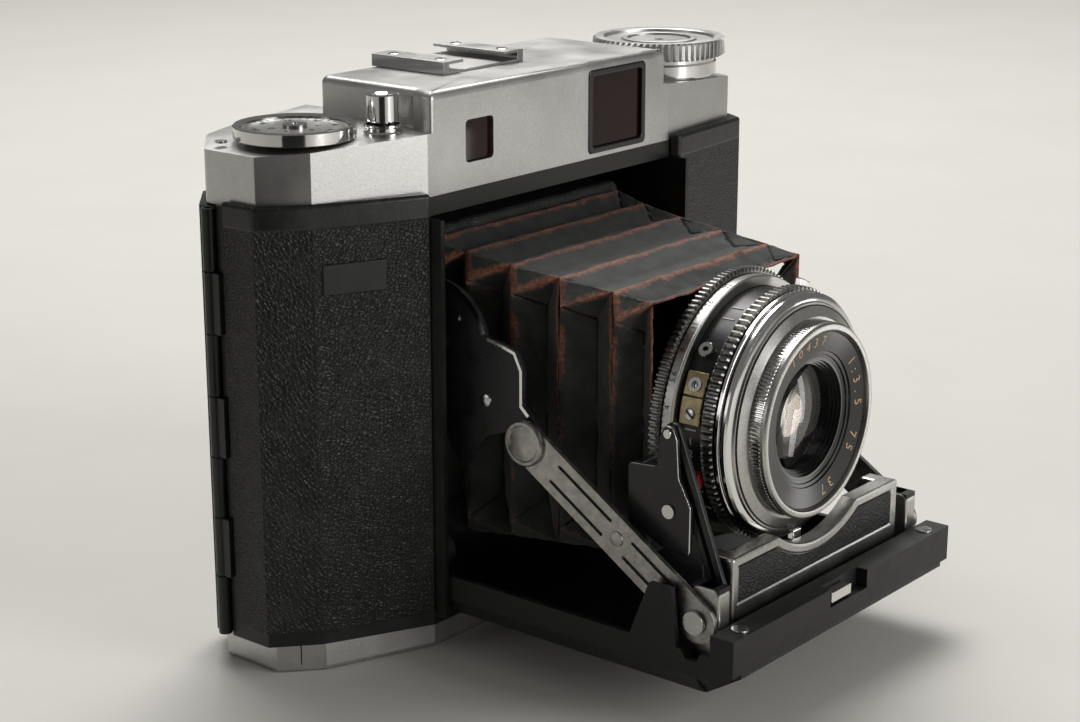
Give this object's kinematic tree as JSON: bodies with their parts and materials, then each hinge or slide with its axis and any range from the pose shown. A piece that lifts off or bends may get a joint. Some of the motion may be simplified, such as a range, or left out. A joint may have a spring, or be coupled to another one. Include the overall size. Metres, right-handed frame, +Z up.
{
  "type": "folding camera",
  "caption": "Folding roll-film camera with a drop-down front door, struts, bellows and a leaf-shutter lens, shown open.",
  "frame": {"origin": "mouth of the tripod socket, in the middle of the bottom plate's underside", "axes": "+Z up, -Y the way the lens looks, +X towards the film-advance knob"},
  "size_m": [0.1374, 0.1106, 0.1113],
  "materials": {
    "black_body": "satin black",
    "black_metal": "satin black",
    "leather": "pebbled, slightly glossy",
    "bellows_cloth": "matt, worn at the folds",
    "satin_chrome": "fine-grained satin",
    "polished_chrome": "polished",
    "worn_nickel": "worn",
    "steel": "bright",
    "brass": "bright",
    "black_plastic": "gloss",
    "window_glass": "tinted",
    "lens_glass": "coated",
    "mirror": "polished",
    "red_paint": "satin"
  },
  "bodies": {
    "camera": {"body_shell": "black_body", "leather_left": "leather", "leather_right": "leather", "bellows_frame": "black_body", "bellows": "bellows_cloth", "bottom_plate": "satin_chrome", "tripod_socket": "steel", "top_cover": "satin_chrome", "body_screws": "steel", "accessory_shoe": "satin_chrome", "finder_frame": "black_plastic", "window_glass": "window_glass", "half_mirror": "mirror", "eyepiece": "black_plastic", "button_collar": "polished_chrome", "spool_pins": "steel", "back_hinge": "black_body", "hinge_pins": "steel"},
    "reminder": {"reminder_dial": "polished_chrome"},
    "button": {"shutter_button": "polished_chrome"},
    "winder": {"advance_knob": "satin_chrome", "knob_gear": "brass"},
    "spool": {"takeup_key": "steel", "takeup_spool": "black_plastic"},
    "focusing": {"focus_wheel": "satin_chrome"},
    "gate": {"film_gate": "black_body"},
    "left_roller": {"roller_left": "steel"},
    "right_roller": {"roller_right": "steel"},
    "back": {"back_door": "black_body", "back_leather": "leather", "pressure_plate": "black_body", "pressure_springs": "steel"},
    "back_catch": {"back_latch": "polished_chrome"},
    "door": {"door_tray": "black_body", "door_leather": "leather", "bracket_frame": "satin_chrome", "bracket_leather": "leather", "door_pins": "polished_chrome"},
    "door_catch": {"latch_tongue": "polished_chrome"},
    "links": {"upper_links": "black_metal"},
    "struts": {"lower_struts": "worn_nickel", "strut_buttons": "polished_chrome"},
    "arms": {"standard_arm": "black_metal"},
    "standard": {"lens_standard": "black_metal", "standard_rivets": "steel", "shutter_housing": "black_metal", "face_ring": "polished_chrome", "lens_tube": "polished_chrome", "bezel": "polished_chrome", "name_ring": "black_metal", "front_element": "lens_glass", "rear_cell": "black_metal", "rear_element": "lens_glass", "leaves": "black_metal"},
    "apertures": {"aperture_ring": "polished_chrome"},
    "speeds": {"speed_ring": "polished_chrome"},
    "cocking": {"cocking_lever": "polished_chrome"},
    "pointer": {"iris_pointer": "red_paint"},
    "timer": {"timer_lever": "polished_chrome"},
    "sync": {"sync_switch": "polished_chrome"}
  },
  "joints": [
    {"name": "front_door", "type": "hinge", "parent": "camera", "child": "door", "pos_m": [0, -0.02, 0.0204], "axis": [-1, 0, 0], "range_deg": [0, 90], "deforming": ["bellows"]},
    {"name": "link_fold", "type": "hinge", "parent": "camera", "child": "links", "pos_m": [0, -0.018, 0.061], "axis": [-1, 0, 0], "range_deg": [-60, 0]},
    {"name": "strut_fold", "type": "hinge", "parent": "door", "child": "struts", "pos_m": [0, -0.08, 0.0209], "axis": [-1, 0, 0], "range_deg": [0, 29.3]},
    {"name": "arm_fold", "type": "hinge", "parent": "door", "child": "arms", "pos_m": [0, -0.0815, 0.0249], "axis": [-1, 0, 0], "range_deg": [0, 72]},
    {"name": "standard_fold", "type": "hinge", "parent": "arms", "child": "standard", "pos_m": [0, -0.07074, 0.05303], "axis": [-1, 0, 0], "range_deg": [-162, 0]},
    {"name": "door_catch_slide", "type": "slide", "parent": "door", "child": "door_catch", "axis": [0, 0, -1], "range_m": [0, 0.0005], "stiffness_N_per_m": 300},
    {"name": "back_door_swing", "type": "hinge", "parent": "camera", "child": "back", "pos_m": [-0.0675, 0.0067, 0], "axis": [0, 0, 1], "range_deg": [0, 110]},
    {"name": "back_catch_slide", "type": "slide", "parent": "camera", "child": "back_catch", "axis": [0, 0, 1], "range_m": [0, 0.004]},
    {"name": "button_press", "type": "slide", "parent": "camera", "child": "button", "axis": [0, 0, -1], "range_m": [0, 0.002], "stiffness_N_per_m": 400, "springref_m": -0.0005},
    {"name": "advance_turn", "type": "hinge", "parent": "camera", "child": "winder", "pos_m": [0.0519, -0.0063, 0], "axis": [0, 0, 1], "continuous": true},
    {"name": "spool_turn", "type": "hinge", "parent": "camera", "child": "spool", "pos_m": [0.0521, 0.0015, 0], "axis": [0, 0, 1], "continuous": true},
    {"name": "reminder_turn", "type": "hinge", "parent": "camera", "child": "reminder", "pos_m": [-0.0518, -0.0003, 0], "axis": [0, 0, 1], "continuous": true},
    {"name": "focus_turn", "type": "hinge", "parent": "camera", "child": "focusing", "pos_m": [0.022, 0.0084, 0], "axis": [0, 0, 1], "range_deg": [-150, 0]},
    {"name": "gate_slide", "type": "slide", "parent": "camera", "child": "gate", "axis": [0, 1, 0], "range_m": [0, 0.0058]},
    {"name": "left_roller_turn", "type": "hinge", "parent": "camera", "child": "left_roller", "pos_m": [-0.0376, 0.0092, 0], "axis": [0, 0, 1], "continuous": true},
    {"name": "right_roller_turn", "type": "hinge", "parent": "camera", "child": "right_roller", "pos_m": [0.0376, 0.0092, 0], "axis": [0, 0, 1], "continuous": true},
    {"name": "aperture_turn", "type": "hinge", "parent": "standard", "child": "apertures", "pos_m": [0, -0.07, 0.0499], "axis": [0, -1, 0], "range_deg": [0, 60]},
    {"name": "pointer_turn", "type": "hinge", "parent": "standard", "child": "pointer", "pos_m": [0, -0.07, 0.0499], "axis": [0, -1, 0], "range_deg": [0, 60]},
    {"name": "speed_turn", "type": "hinge", "parent": "standard", "child": "speeds", "pos_m": [0, -0.07, 0.0499], "axis": [0, -1, 0], "range_deg": [-80, 80]},
    {"name": "cocking_turn", "type": "hinge", "parent": "standard", "child": "cocking", "pos_m": [0, -0.07, 0.0499], "axis": [0, -1, 0], "range_deg": [0, 40], "stiffness_Nm_per_rad": 0.002, "springref_deg": -2.86},
    {"name": "timer_turn", "type": "hinge", "parent": "standard", "child": "timer", "pos_m": [0, -0.07, 0.0499], "axis": [0, -1, 0], "range_deg": [-30, 30]},
    {"name": "sync_turn", "type": "hinge", "parent": "standard", "child": "sync", "pos_m": [-0.01777, -0.0694, 0.06481], "axis": [-0.766, 0, 0.6428], "range_deg": [-20, 20]}
  ],
  "couplings": [
    {"joint": "link_fold", "follows": "front_door", "ratio": -0.66667},
    {"joint": "strut_fold", "follows": "front_door", "ratio": 0.32556},
    {"joint": "arm_fold", "follows": "front_door", "ratio": 0.8},
    {"joint": "standard_fold", "follows": "front_door", "ratio": -1.8},
    {"joint": "spool_turn", "follows": "advance_turn", "ratio": -1},
    {"joint": "gate_slide", "follows": "focus_turn", "m_per_rad": -0.0022154},
    {"joint": "pointer_turn", "follows": "aperture_turn", "ratio": 1}
  ]
}
